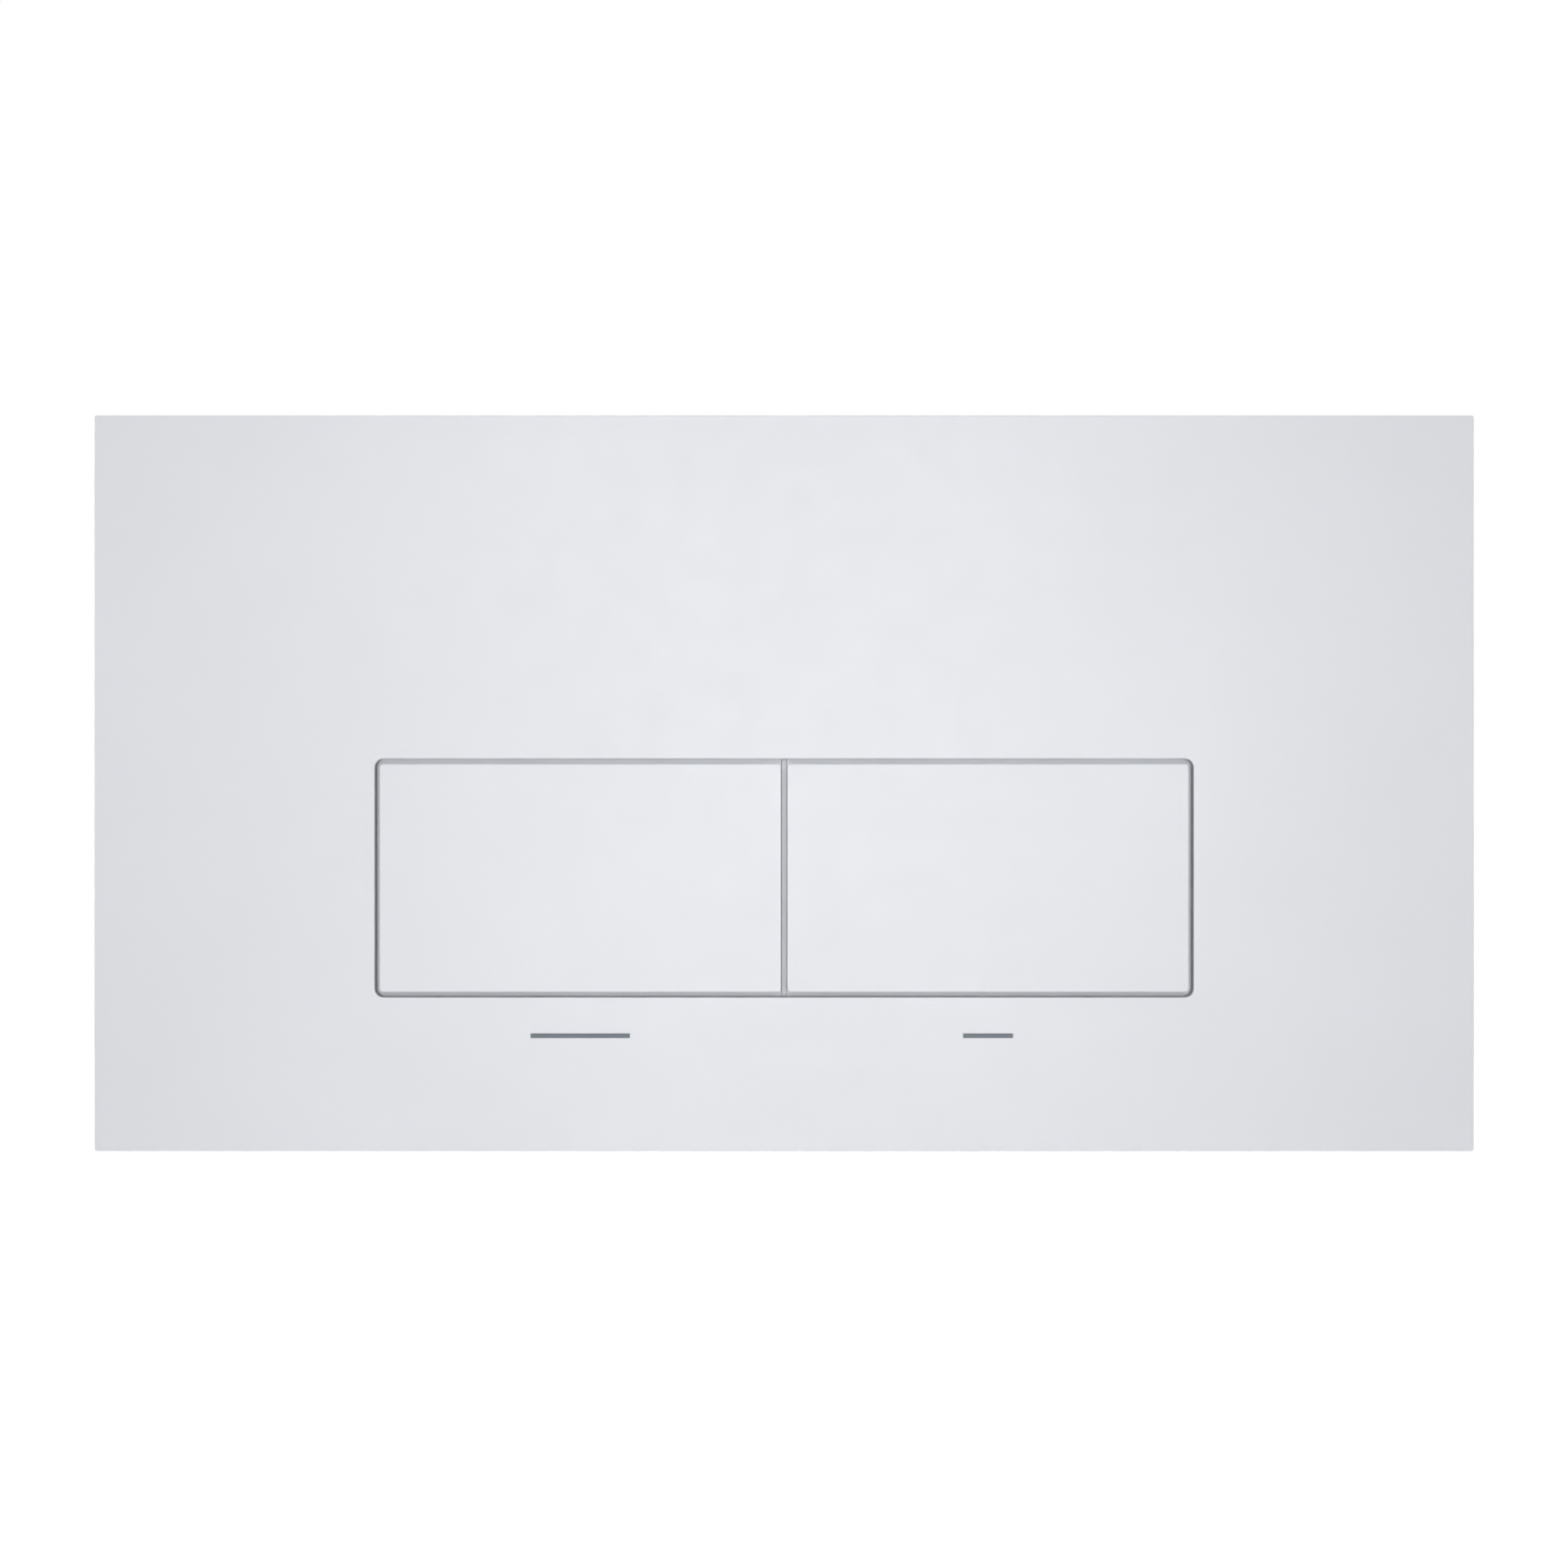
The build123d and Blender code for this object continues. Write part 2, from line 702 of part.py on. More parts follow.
# Fixing studs with a thread at each end, and the knurled nuts that hold the frame on them
for side, name in ((-1, "left"), (1, "right")):
    with BuildPart() as fixing_stud:
        stud_front_y = skin_back_y + stud_cover_room
        neck_front_y = stud_front_y + stud_front_thread
        neck_back_y = neck_front_y + stud_neck
        stud_back_y = neck_back_y + stud_rear_thread
        with BuildSketch(at_y(neck_front_y)):
            with Locations((side * stud_x, 0)):
                Circle(stud_radius)
        extrude(amount=stud_front_thread)
        with BuildSketch(at_y(neck_back_y)):
            with Locations((side * stud_x, 0)):
                Circle(stud_neck_radius)
        extrude(amount=stud_neck)
        with BuildSketch(at_y(stud_back_y)):
            with Locations((side * stud_x, 0)):
                Circle(stud_radius)
        extrude(amount=stud_rear_thread)
        for stud_end in (0, -1):
            chamfer(fixing_stud.faces().sort_by(Axis.Y)[stud_end].edges(), stud_chamfer)
    fixing_stud.part.label = f"fixing_stud_{name}"
    export_step(fixing_stud.part, f"parts/fixing_stud_{name}.step")

    with BuildPart() as fixing_nut:
        with BuildSketch(at_y(flange_front_y)):
            with Locations((side * stud_x, 0)):
                Circle(nut_shoulder_radius)
        extrude(amount=nut_shoulder)
        with BuildSketch(at_y(flange_front_y - nut_shoulder)):
            with Locations((side * stud_x, 0)):
                Circle(nut_radius)
        extrude(amount=nut_height - nut_shoulder)
        chamfer(fixing_nut.faces().sort_by(Axis.Y)[0].edges(), nut_chamfer)
        with BuildSketch(at_y(flange_front_y - nut_shoulder)):
            with Locations((side * stud_x, 0)):
                with PolarLocations(nut_radius, nut_grooves):
                    Circle(nut_groove_radius)
        extrude(amount=nut_height - nut_shoulder, mode=Mode.SUBTRACT)
        with BuildSketch(at_y(flange_front_y)):
            with Locations((side * stud_x, 0)):
                Circle(stud_radius + nut_thread_gap)
        extrude(amount=nut_height, mode=Mode.SUBTRACT)
    fixing_nut.part.label = f"fixing_nut_{name}"
    export_step(fixing_nut.part, f"parts/fixing_nut_{name}.step")


# Coloured marks let into the plate: a long bar for the full flush, a short one for the half flush
for side, length, label in (
    (-1, full_mark_length, "full_flush_mark"),
    (1, half_mark_length, "half_flush_mark"),
):
    with BuildPart() as mark:
        with BuildSketch(at_y(face_y + mark_depth)):
            with Locations((side * button_x, mark_z)):
                Rectangle(length, mark_width)
        extrude(amount=mark_depth)
    mark.part.label = label
    export_step(mark.part, f"parts/{label}.step")
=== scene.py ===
import math

import bmesh
import bpy
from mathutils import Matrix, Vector


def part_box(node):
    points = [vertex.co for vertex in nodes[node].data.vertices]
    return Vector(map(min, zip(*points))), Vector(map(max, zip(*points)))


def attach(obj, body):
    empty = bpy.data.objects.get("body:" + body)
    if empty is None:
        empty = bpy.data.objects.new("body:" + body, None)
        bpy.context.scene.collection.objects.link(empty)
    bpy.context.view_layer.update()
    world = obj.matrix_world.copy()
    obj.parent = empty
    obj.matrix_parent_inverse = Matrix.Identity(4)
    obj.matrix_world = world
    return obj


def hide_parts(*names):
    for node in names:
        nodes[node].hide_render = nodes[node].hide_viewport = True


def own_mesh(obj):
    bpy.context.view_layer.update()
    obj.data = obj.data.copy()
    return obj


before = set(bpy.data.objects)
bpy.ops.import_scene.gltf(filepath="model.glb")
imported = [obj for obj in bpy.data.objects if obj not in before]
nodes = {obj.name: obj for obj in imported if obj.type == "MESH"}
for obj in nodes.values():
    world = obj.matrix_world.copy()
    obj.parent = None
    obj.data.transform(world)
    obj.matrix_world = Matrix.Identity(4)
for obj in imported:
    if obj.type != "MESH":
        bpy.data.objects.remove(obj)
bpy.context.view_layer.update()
scene = bpy.context.scene

# Sizes in metres. The nodes' own boxes give the places of the threads, springs and back faces
MM = 0.001
camera_distance = 485.6 * MM
camera_left = 0.03 * MM
camera_drop = 0.15 * MM
floor_drop = 0.34
floor_radius = 2.4
shadow_radius = 0.3
glow_radius = 0.7

# Painted shade: the side walls and the lower wall of the window are darkened in colour, as shade in
# the joint.
# They lie in a box that starts below the window's rounded edge: its middle, half its size and the soft
# length at its sides
shaded_walls_middle = (0, -9.9 * MM, -21 * MM)
shaded_walls_half = (89.6 * MM, 1.6 * MM, 26.1 * MM)
shaded_walls_soft = (0.3 * MM, 0.2 * MM, 0.2 * MM)

stud_core = 2.42 * MM
stud_crest = 3 * MM
stud_neck = 2.6 * MM
stud_pitch = 1 * MM
stud_chamfer = 0.7 * MM
stud_front_thread = 20 * MM
stud_neck_length = 38 * MM
stud_shoulder = 0.1 * MM
stud_segments = 28

rod_core = 3.55 * MM
rod_crest = 4 * MM
rod_pitch = 2 * MM
rod_chamfer = 1 * MM
rod_segments = 36

thread_rows_per_turn = 8
# The flat crest and the flat root each take up this share of a thread's pitch
thread_flat = 0.12
# Painted shade in the threads' roots: threads are at their darkest up to the first distance from their
# axis and unshaded from the second
stud_root_shade = (2.45 * MM, 2.95 * MM)
rod_root_shade = (3.6 * MM, 3.95 * MM)
neck_soft = 0.1 * MM

wire_radius = 0.5 * MM
wire_points = 10
spring_turns = 4.2
spring_steps = 200
# The turns at a spring's ends lie close together, and its pitch eases by a share towards them
closed_turns = 0.8
closed_rise = 2.05 * wire_radius
pitch_ease = 0.14

# Marks of the mould's ejector pins: low discs on the cover and the carrier, flush on the frame
mark_sink = 0.05 * MM
mark_edge = 0.05 * MM
mark_height = 0.1 * MM
mark_bevel = 0.2 * MM
mark_segments = 24
cover_skin = 2.5 * MM
cover_mark_radius = 2.6 * MM
cover_mark_columns = [x * MM for x in (-134, -98, -60, -20, 20, 60, 98, 134)]
cover_mark_rows = [z * MM for z in (-71, 71)]
carrier_rib_height = 1.5 * MM
carrier_mark_radius = 2.4 * MM
carrier_mark_columns = [x * MM for x in (-80, -40, 0, 40, 80)]
carrier_mark_rows = [z * MM for z in (-45.4, 6.2)]
frame_mark_radius = 2.4 * MM
frame_mark_soft = 0.25 * MM
frame_mark_row = 59 * MM
frame_mark_pitch_x = 50 * MM
frame_mark_pitch_z = 59 * MM
frame_mark_gloss = 0.14
frame_mark_tone = 0.9
# The frame's back is what lies this near to the wall's plane
frame_back_half = 0.1 * MM
frame_back_soft = 0.05 * MM


def middle_of(node):
    low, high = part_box(node)
    return (low + high) / 2


def add_node(tree, kind, values=None, **properties):
    # A shader node with its properties, and with values for its unlinked inputs by their names
    node = tree.nodes.new(kind)
    for name, value in properties.items():
        setattr(node, name, value)
    for socket, value in (values or {}).items():
        node.inputs[socket].default_value = value
    return node


# Camera: square on, at the photograph's distance and framing
camera_data = bpy.data.cameras.new("camera")
camera_data.lens = 50
camera_data.sensor_width = 36
camera = bpy.data.objects.new("camera", camera_data)
camera.location = (-camera_left, -camera_distance, -camera_drop)
camera.rotation_euler = (math.radians(90), 0, 0)
scene.collection.objects.link(camera)
scene.camera = camera
scene.view_settings.view_transform = "Standard"


# World: white where the camera, a reflection or glass sees it, a dim studio for the rest
world = bpy.data.worlds.new("studio")
world.use_nodes = True
scene.world = world
tree = world.node_tree
tree.nodes.clear()
out = add_node(tree, "ShaderNodeOutputWorld")
seen = add_node(tree, "ShaderNodeBackground", {"Color": (1, 1, 1, 1), "Strength": 1})
dim = add_node(tree, "ShaderNodeBackground", {"Color": (0.94, 0.97, 1, 1), "Strength": 0.16})
path = add_node(tree, "ShaderNodeLightPath")
camera_or_glossy = add_node(tree, "ShaderNodeMath", operation="MAXIMUM")
any_of_three = add_node(tree, "ShaderNodeMath", operation="MAXIMUM")
mix = add_node(tree, "ShaderNodeMixShader")
tree.links.new(path.outputs["Is Camera Ray"], camera_or_glossy.inputs[0])
tree.links.new(path.outputs["Is Glossy Ray"], camera_or_glossy.inputs[1])
tree.links.new(camera_or_glossy.outputs[0], any_of_three.inputs[0])
tree.links.new(path.outputs["Is Transmission Ray"], any_of_three.inputs[1])
tree.links.new(any_of_three.outputs[0], mix.inputs[0])
tree.links.new(dim.outputs[0], mix.inputs[1])
tree.links.new(seen.outputs[0], mix.inputs[2])
tree.links.new(mix.outputs[0], out.inputs["Surface"])


def softbox(name, place, target, size, watts, colour=(1, 1, 1)):
    # An area lamp of (width, height) in metres that faces its target
    data = bpy.data.lights.new(name, "AREA")
    data.shape = "RECTANGLE"
    data.size, data.size_y = size
    data.energy = watts
    data.color = colour
    lamp = bpy.data.objects.new(name, data)
    lamp.location = place
    aim = Vector(target) - Vector(place)
    lamp.rotation_euler = aim.to_track_quat("-Z", "Y").to_euler()
    scene.collection.objects.link(lamp)


# Lamps: the one in front is behind the camera, and the one at the back is wide, so that its
# reflection doesn't wash out the edges of the plate
plate = (0, 0, 0)
parts_behind = (0, 0.02, 0)
softbox("front_box", (0, -0.64, 0.02), plate, (0.39, 0.46), 2.87, (0.99, 0.995, 1))
softbox("top_box", (0, -0.25, 0.9), plate, (0.7, 0.7), 0.9)
softbox("left_box", (-1.0, 0.25, 0.35), parts_behind, (0.7, 0.7), 3.2)
softbox("right_box", (1.0, 0.3, 0.3), parts_behind, (0.7, 0.7), 2.6)
softbox("back_box", (0.25, 1.0, 0.55), parts_behind, (1.5, 1.5), 6.5)


# Floor: a disc well below the object, so that the front view stays white. Its paper glows for the
# camera alone, a little less near the middle, where it shows the object's shadow
paper = bpy.data.materials.new("paper")
paper.use_nodes = True
tree = paper.node_tree
tree.nodes.clear()
out = add_node(tree, "ShaderNodeOutputMaterial")
matt = add_node(tree, "ShaderNodeBsdfDiffuse", {"Color": (0.6, 0.6, 0.6, 1)})
glow = add_node(tree, "ShaderNodeEmission", {"Color": (1, 1, 1, 1)})
add = add_node(tree, "ShaderNodeAddShader")
path = add_node(tree, "ShaderNodeLightPath")
where = add_node(tree, "ShaderNodeTexCoord")
reach = add_node(tree, "ShaderNodeVectorMath", operation="LENGTH")
fade_values = {"From Min": shadow_radius, "From Max": glow_radius, "To Min": 0.8, "To Max": 1.0}
fade = add_node(tree, "ShaderNodeMapRange", fade_values)
lift = add_node(tree, "ShaderNodeMath", operation="MULTIPLY")
tree.links.new(where.outputs["Object"], reach.inputs[0])
tree.links.new(reach.outputs["Value"], fade.inputs["Value"])
tree.links.new(path.outputs["Is Camera Ray"], lift.inputs[0])
tree.links.new(fade.outputs["Result"], lift.inputs[1])
tree.links.new(lift.outputs[0], glow.inputs["Strength"])
tree.links.new(matt.outputs[0], add.inputs[0])
tree.links.new(glow.outputs[0], add.inputs[1])
tree.links.new(add.outputs[0], out.inputs["Surface"])

floor_mesh = bpy.data.meshes.new("floor")
disc = bmesh.new()
bmesh.ops.create_circle(disc, cap_ends=True, segments=96, radius=floor_radius)
disc.to_mesh(floor_mesh)
disc.free()
floor_mesh.materials.append(paper)
floor = bpy.data.objects.new("floor", floor_mesh)
floor.location = (0, 0, -floor_drop)
scene.collection.objects.link(floor)


# Materials. Object coordinates are in metres, so a noise scale of 1000 has details of about a
# millimetre
class Shader:
    def __init__(self, name):
        self.material = bpy.data.materials.new(name)
        self.material.use_nodes = True
        self.tree = self.material.node_tree
        self.surface = self.tree.nodes["Principled BSDF"]
        self.place = self.node("ShaderNodeTexCoord").outputs["Object"]

    def node(self, kind, values=None, **properties):
        return add_node(self.tree, kind, values, **properties)

    def link(self, source, socket):
        self.tree.links.new(source, socket)

    def source(self, name):
        # What an input of the surface is linked to
        return self.surface.inputs[name].links[0].from_socket

    def parts(self):
        # The three coordinates of a place on the surface
        node = self.node("ShaderNodeSeparateXYZ")
        self.link(self.place, node.inputs[0])
        return node.outputs

    def noise(self, scale, detail, roughness=0.5, stretch=None):
        # A stretch of less than 1 on an axis draws the noise out along it
        values = {"Scale": scale, "Detail": detail, "Roughness": roughness}
        node = self.node("ShaderNodeTexNoise", values)
        place = self.place
        if stretch:
            mapping = self.node("ShaderNodeMapping", {"Scale": stretch})
            self.link(place, mapping.inputs["Vector"])
            place = mapping.outputs["Vector"]
        self.link(place, node.inputs["Vector"])
        return node.outputs["Fac"]

    def tones(self, noise, dark, light):
        # Colours the surface from dark to light over the middle of a noise
        node = self.node("ShaderNodeValToRGB")
        for end, position, colour in zip(node.color_ramp.elements, (0.3, 0.7), (dark, light)):
            end.position = position
            end.color = (*colour, 1)
        self.link(noise, node.inputs["Fac"])
        self.link(node.outputs["Color"], self.surface.inputs["Base Color"])

    def map_range(self, value, start, end, low, high):
        values = {"From Min": start, "From Max": end, "To Min": low, "To Max": high}
        node = self.node("ShaderNodeMapRange", values)
        self.link(value, node.inputs["Value"])
        return node.outputs["Result"]

    def gloss(self, noise, rough, spread):
        # Roughness that varies by the spread each way, over the middle of a noise
        varied = self.map_range(noise, 0.25, 0.75, rough - spread, rough + spread)
        self.link(varied, self.surface.inputs["Roughness"])

    def bump(self, height, depth_mm):
        # Each bump adds to those before it
        node = self.node("ShaderNodeBump", {"Distance": depth_mm * MM, "Strength": 1})
        self.link(height, node.inputs["Height"])
        if self.surface.inputs["Normal"].links:
            self.link(self.source("Normal"), node.inputs["Normal"])
        self.link(node.outputs["Normal"], self.surface.inputs["Normal"])

    def math(self, operation, first, second=0):
        node = self.node("ShaderNodeMath", operation=operation)
        for socket, value in zip(node.inputs, (first, second)):
            if isinstance(value, (int, float)):
                socket.default_value = value
            else:
                self.link(value, socket)
        return node.outputs[0]

    def length(self, first, second):
        first_square = self.math("MULTIPLY", first, first)
        second_square = self.math("MULTIPLY", second, second)
        return self.math("SQRT", self.math("ADD", first_square, second_square))

    def within(self, value, middle, half, soft):
        # 1 inside a band of the given half width, falling to 0 over the soft length
        away = self.math("ABSOLUTE", self.math("SUBTRACT", value, middle))
        return self.map_range(away, half, half + soft, 1, 0)

    def within_box(self, middle, half, soft):
        # 1 inside a box, falling to 0 over the soft lengths at its sides
        sides = zip(self.parts(), middle, half, soft)
        across, along, above = [self.within(*side) for side in sides]
        return self.math("MULTIPLY", self.math("MULTIPLY", across, above), along)

    def tint(self, amount, factor):
        # Darkens what the base colour is linked to by the factor, where the amount is 1. The Mix
        # node's sockets for colours go by number
        first_colour, second_colour, mixed = 6, 7, 2
        node = self.node("ShaderNodeMix", data_type="RGBA", blend_type="MULTIPLY")
        node.inputs[second_colour].default_value = (factor, factor, factor, 1)
        self.link(amount, node.inputs["Factor"])
        self.link(self.source("Base Color"), node.inputs[first_colour])
        self.link(node.outputs[mixed], self.surface.inputs["Base Color"])

    def roots(self, node, shade_reach, factor, neck=None):
        # Painted shade: darker towards the roots of the thread of a node and of its mirror image,
        # where the grooves lie in shade.
        # A plain neck, given by its middle and half its length along Y, keeps its colour
        axis = middle_of(node)
        place = self.parts()
        across = self.math("SUBTRACT", self.math("ABSOLUTE", place[0]), axis.x)
        above = self.math("SUBTRACT", place[2], axis.z)
        amount = self.map_range(self.length(across, above), *shade_reach, 1, 0)
        if neck:
            plain = self.within(place[1], *neck, neck_soft)
            amount = self.math("MULTIPLY", amount, self.math("SUBTRACT", 1, plain))
        self.tint(amount, factor)

    def frame_marks(self):
        # Flush marks, smoother and a little darker, on the back that lies on the wall's plane. One
        # column of marks is in the middle, and one row is at the height of frame_mark_row
        place = self.parts()
        from_row = self.math("SUBTRACT", place[2], frame_mark_row)
        from_x = self.math("PINGPONG", place[0], frame_mark_pitch_x / 2)
        from_z = self.math("PINGPONG", from_row, frame_mark_pitch_z / 2)
        disc = self.within(self.length(from_x, from_z), 0, frame_mark_radius, frame_mark_soft)
        on_back = self.within(place[1], 0, frame_back_half, frame_back_soft)
        marked = self.math("MULTIPLY", disc, on_back)
        smoother = self.math("MULTIPLY", marked, frame_mark_gloss)
        rough = self.math("SUBTRACT", self.source("Roughness"), smoother)
        self.link(rough, self.surface.inputs["Roughness"])
        self.tint(marked, frame_mark_tone)


def shade(colour, factor):
    return tuple(min(1, part * factor) for part in colour)


def plastic(name, colour, rough, vary=0.015, grain=2600, grain_depth=0.008, specular=0.5):
    # Moulded plastic: faint clouds in its tone, patches in its gloss, a fine grain and low waves
    finish = Shader(name)
    clouds = finish.noise(scale=18, detail=3)
    patches = finish.noise(scale=160, detail=4)
    grains = finish.noise(scale=grain, detail=3, roughness=0.6)
    waves = finish.noise(scale=45, detail=1)
    finish.tones(clouds, shade(colour, 1 - vary), shade(colour, 1 + vary))
    finish.gloss(patches, rough, spread=0.05)
    finish.bump(grains, grain_depth)
    finish.bump(waves, depth_mm=0.008)
    finish.surface.inputs["Specular IOR Level"].default_value = specular
    return finish


def metal(name, colour, rough, stretch=(1, 1, 1)):
    # Plated or drawn steel: a mottled tone, and fine lines where the noise is stretched
    finish = Shader(name)
    finish.surface.inputs["Metallic"].default_value = 1
    mottle = finish.noise(scale=260, detail=4)
    lines = finish.noise(scale=1800, detail=3, roughness=0.6, stretch=stretch)
    finish.tones(mottle, shade(colour, 0.86), shade(colour, 1.08))
    finish.gloss(lines, rough, spread=0.08)
    finish.bump(lines, depth_mm=0.004)
    return finish


white = (0.80, 0.81, 0.842)
cover_finish = plastic("cover_finish", white, 0.42)
# Painted shade on the window's walls: their colour is darkened where the joint lies in shade
painted_wall_shade = cover_finish.within_box(shaded_walls_middle, shaded_walls_half, shaded_walls_soft)
cover_finish.tint(painted_wall_shade, factor=0.44)
button_finish = plastic("button_finish", white, 0.42)
mark_finish = plastic(
    "mark_finish", (0.16, 0.181, 0.21), 0.5, vary=0.03, grain=3200, grain_depth=0.004, specular=0.4
)

carrier_finish = plastic("carrier_finish", (0.655, 0.665, 0.69), 0.48, grain=1800, grain_depth=0.014)
# The ends of the ejector pins leave a smoother face than the rest of the mould
carrier_pin_finish = plastic(
    "carrier_pin_finish", (0.6, 0.61, 0.632), 0.34, grain=1800, grain_depth=0.004
)
frame_finish = plastic(
    "frame_finish", (0.085, 0.09, 0.10), 0.55, vary=0.06, grain=1500, grain_depth=0.02
)
frame_finish.frame_marks()

rod_finish = plastic("rod_finish", (0.74, 0.74, 0.71), 0.38, grain=2200, grain_depth=0.006)
# Painted shade in the roots of the rod's thread
rod_finish.roots("push_rod_right", rod_root_shade, factor=0.72)
cap_finish = plastic("cap_finish", (0.10, 0.22, 0.42), 0.4, vary=0.04)
guide_finish = plastic("guide_finish", (0.70, 0.69, 0.64), 0.36)
nut_finish = plastic(
    "nut_finish", (0.03, 0.03, 0.033), 0.42, vary=0.08, grain=1600, grain_depth=0.012
)
rubber_finish = plastic(
    "rubber_finish", (0.022, 0.022, 0.024), 0.75, vary=0.1, grain=2800, grain_depth=0.02, specular=0.25
)

zinc_finish = metal("zinc_finish", (0.66, 0.67, 0.68), 0.34)
pin_finish = metal("pin_finish", (0.68, 0.68, 0.69), 0.2, (0.05, 1, 1))
spring_finish = metal("spring_finish", (0.62, 0.62, 0.63), 0.24)
stud_finish = metal("stud_finish", (0.60, 0.61, 0.62), 0.36)
half_neck = stud_neck_length / 2
neck_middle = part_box("fixing_stud_right")[0].y + stud_front_thread + half_neck
# Painted shade in the roots of the studs' threads
stud_finish.roots("fixing_stud_right", stud_root_shade, factor=0.3, neck=(neck_middle, half_neck))

# The finish of each CAD node
finishes = {
    "cover_plate": cover_finish,
    "full_flush_button": button_finish,
    "half_flush_button": button_finish,
    "full_flush_mark": mark_finish,
    "half_flush_mark": mark_finish,
    "button_carrier": carrier_finish,
    "mounting_frame": frame_finish,
    "carrier_screws": zinc_finish,
    "stop_pads": rubber_finish,
    "hinge_pin_left": pin_finish,
    "hinge_pin_right": pin_finish,
    "push_rod_left": rod_finish,
    "push_rod_right": rod_finish,
    "rod_cap_left": cap_finish,
    "rod_cap_right": cap_finish,
    "rod_guide_left": guide_finish,
    "rod_guide_right": guide_finish,
    "return_spring_left": spring_finish,
    "return_spring_right": spring_finish,
    "fixing_stud_left": stud_finish,
    "fixing_stud_right": stud_finish,
    "fixing_nut_left": nut_finish,
    "fixing_nut_right": nut_finish,
}
for name, finish in finishes.items():
    mesh = nodes[name].data
    mesh.materials.clear()
    mesh.materials.append(finish.material)


def add_skin(shape, rows):
    # Joins rows of points into one closed skin, with a face at each end
    made = [[shape.verts.new(point) for point in row] for row in rows]
    count = len(made[0])
    for near, far in zip(made, made[1:]):
        for point in range(count):
            after = (point + 1) % count
            shape.faces.new((near[point], near[after], far[after], far[point]))
    shape.faces.new(made[0])
    shape.faces.new(reversed(made[-1]))


def piece(name, skins, finish, smooth_degrees):
    # A piece from its skins, each a list of rows of points
    shape = bmesh.new()
    for rows in skins:
        add_skin(shape, rows)
    bmesh.ops.recalc_face_normals(shape, faces=shape.faces[:])
    mesh = bpy.data.meshes.new(name)
    shape.to_mesh(mesh)
    shape.free()
    for face in mesh.polygons:
        face.use_smooth = True
    mesh.set_sharp_from_angle(angle=math.radians(smooth_degrees))
    mesh.materials.append(finish.material)
    made = bpy.data.objects.new(name, mesh)
    scene.collection.objects.link(made)
    return made


def ring(x, y, z, radii):
    # A row of points round an axis along Y, with a radius for each point
    angle = 2 * math.pi / len(radii)
    return [
        (x + radius * math.cos(point * angle), y, z + radius * math.sin(point * angle))
        for point, radius in enumerate(radii)
    ]


def threaded(centre, stretches, segments):
    # Rows of a rod along Y from stretches of (start, end, core radius, crest radius, pitch, chamfer).
    # A stretch with no pitch is plain, and a chamfer is cut only at the rod's two ends
    rod_low = stretches[0][0]
    rod_high = stretches[-1][1]
    rows = []
    for start, end, core, crest, pitch, chamfer in stretches:
        steps = max(1, round((end - start) / pitch * thread_rows_per_turn)) if pitch else 1
        for step in range(steps + 1):
            y = start + (end - start) * step / steps
            near_end = min(y - rod_low, rod_high - y)
            radii = []
            for segment in range(segments):
                radius = crest
                if pitch:
                    phase = (y / pitch - segment / segments) % 1
                    depth = (abs(phase - 0.5) * 2 - thread_flat) / (1 - 2 * thread_flat)
                    radius -= (crest - core) * max(0.0, min(1.0, depth))
                if chamfer:
                    radius = min(radius, crest - max(0.0, chamfer - near_end))
                radii.append(radius)
            rows.append(ring(centre.x, y, centre.z, radii))
    return rows


def fixing_stud(side):
    # A rolled thread at each end of a plain neck
    node = "fixing_stud_" + side
    low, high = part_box(node)
    neck_start = low.y + stud_front_thread
    neck_end = neck_start + stud_neck_length
    thread = (stud_core, stud_crest, stud_pitch, stud_chamfer)
    neck = (neck_start + stud_shoulder, neck_end - stud_shoulder, stud_neck, stud_neck, 0, 0)
    stretches = [(low.y, neck_start, *thread), neck, (neck_end, high.y, *thread)]
    rows = threaded(middle_of(node), stretches, stud_segments)
    stud = piece("stud_thread_" + side, [rows], stud_finish, smooth_degrees=50)
    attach(stud, "housing")
    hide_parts(node)


def push_rod(side, body):
    # A coarse moulded thread, by which the rod is set to length in its cap
    node = "push_rod_" + side
    low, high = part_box(node)
    stretches = [(low.y, high.y, rod_core, rod_crest, rod_pitch, rod_chamfer)]
    rows = threaded(middle_of(node), stretches, rod_segments)
    rod = piece("rod_thread_" + side, [rows], rod_finish, smooth_degrees=60)
    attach(rod, body)
    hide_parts(node)


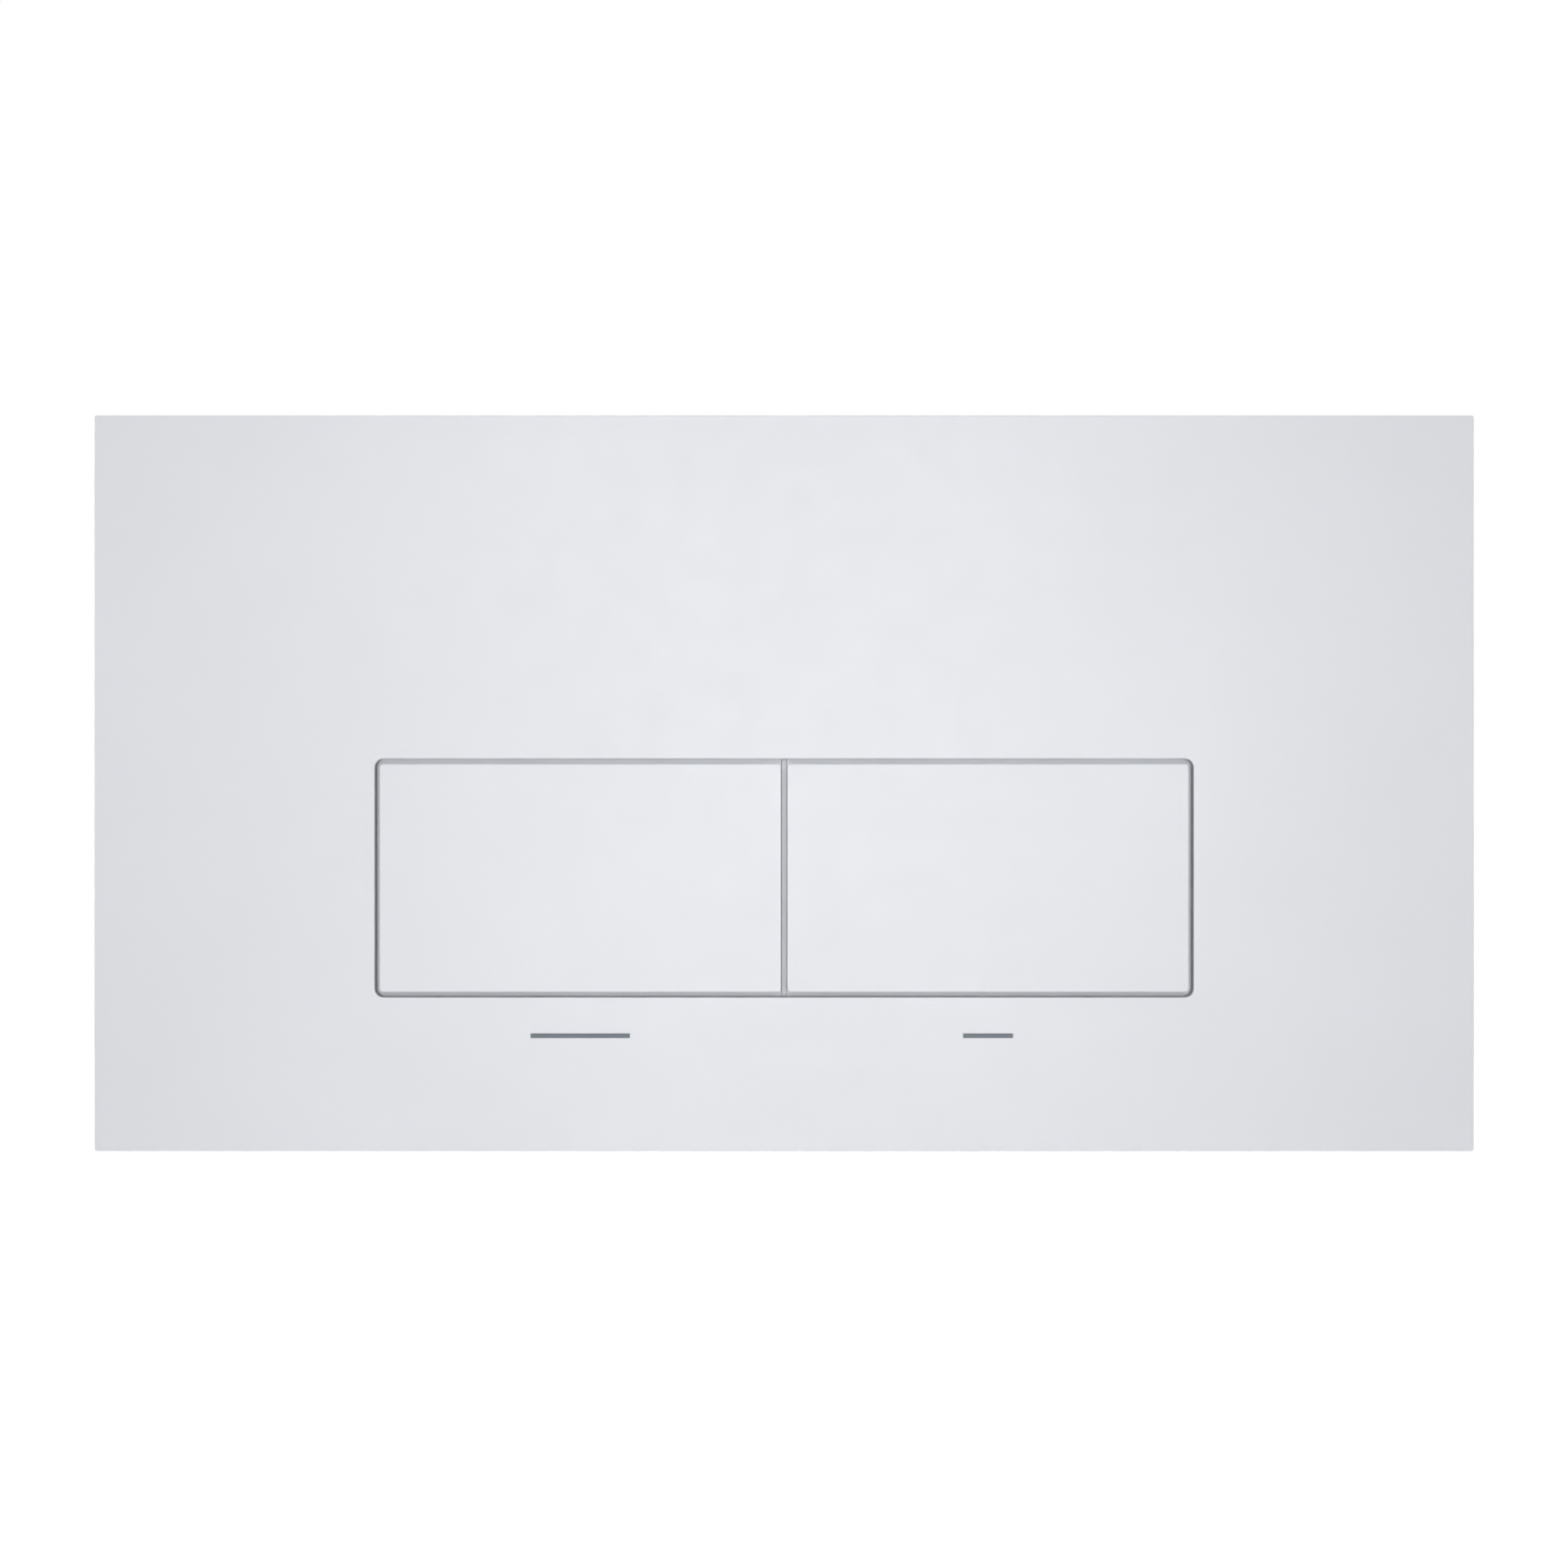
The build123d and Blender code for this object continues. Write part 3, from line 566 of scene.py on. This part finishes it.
def wire_line(start, end, turn):
    # Where a spring's wire is along Y after a number of turns: close together at both ends, and open
    # between them, with a pitch that eases a little towards the ends
    if turn < closed_turns:
        return start + closed_rise * turn
    if turn > spring_turns - closed_turns:
        return end - closed_rise * (spring_turns - turn)
    share = (turn - closed_turns) / (spring_turns - 2 * closed_turns)
    eased = share * share * (3 - 2 * share)
    share = share * (1 - pitch_ease) + eased * pitch_ease
    closed = closed_rise * closed_turns
    return start + closed + (end - start - 2 * closed) * share


def coil_rows(centre, radius, start, end):
    # Rows of points round the wire, from the front end of a spring's middle line to its rear end
    rows = []
    for step in range(spring_steps + 1):
        turn = spring_turns * step / spring_steps
        angle = 2 * math.pi * turn
        outward = Vector((math.cos(angle), 0, math.sin(angle)))
        middle = Vector((centre.x, wire_line(start, end, turn), centre.z)) + outward * radius
        row = []
        for point in range(wire_points):
            bend = 2 * math.pi * point / wire_points
            along = Vector((0, wire_radius * math.sin(bend), 0))
            row.append(middle + outward * (wire_radius * math.cos(bend)) + along)
        rows.append(row)
    return rows


def return_spring(side):
    # A spring between the rod's cap and its guide, which the rod's slide shortens
    node = "return_spring_" + side
    centre = middle_of(node)
    low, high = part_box(node)
    guide_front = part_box("rod_guide_" + side)[0].y
    radius = (high.x - low.x) / 2 - wire_radius
    rows = coil_rows(centre, radius, low.y + wire_radius, guide_front - wire_radius)
    coil = piece("spring_coil_" + side, [rows], spring_finish, smooth_degrees=80)
    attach(coil, "housing")
    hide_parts(node)
    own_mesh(coil)


def ejector_marks(name, columns, rows, radius, face, finish):
    # Low discs that the mould's ejector pins leave on a back face, a little sunk in it
    rim = [radius] * mark_segments
    top = [radius - mark_bevel] * mark_segments
    levels = ((-mark_sink, rim), (mark_edge, rim), (mark_height, top))
    skins = [
        [ring(x, face + level, z, radii) for level, radii in levels]
        for x in columns
        for z in rows
    ]
    marks = piece(name, skins, finish, smooth_degrees=40)
    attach(marks, "housing")


bodies = {"left": "full_rod", "right": "half_rod"}
for side in bodies:
    fixing_stud(side)
for side, body in bodies.items():
    push_rod(side, body)
for side, body in bodies.items():
    return_spring(side)

ejector_marks(
    "ejector_marks",
    cover_mark_columns,
    cover_mark_rows,
    cover_mark_radius,
    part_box("cover_plate")[0].y + cover_skin,
    cover_finish,
)
ejector_marks(
    "carrier_marks",
    carrier_mark_columns,
    carrier_mark_rows,
    carrier_mark_radius,
    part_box("button_carrier")[1].y - carrier_rib_height,
    carrier_pin_finish,
)
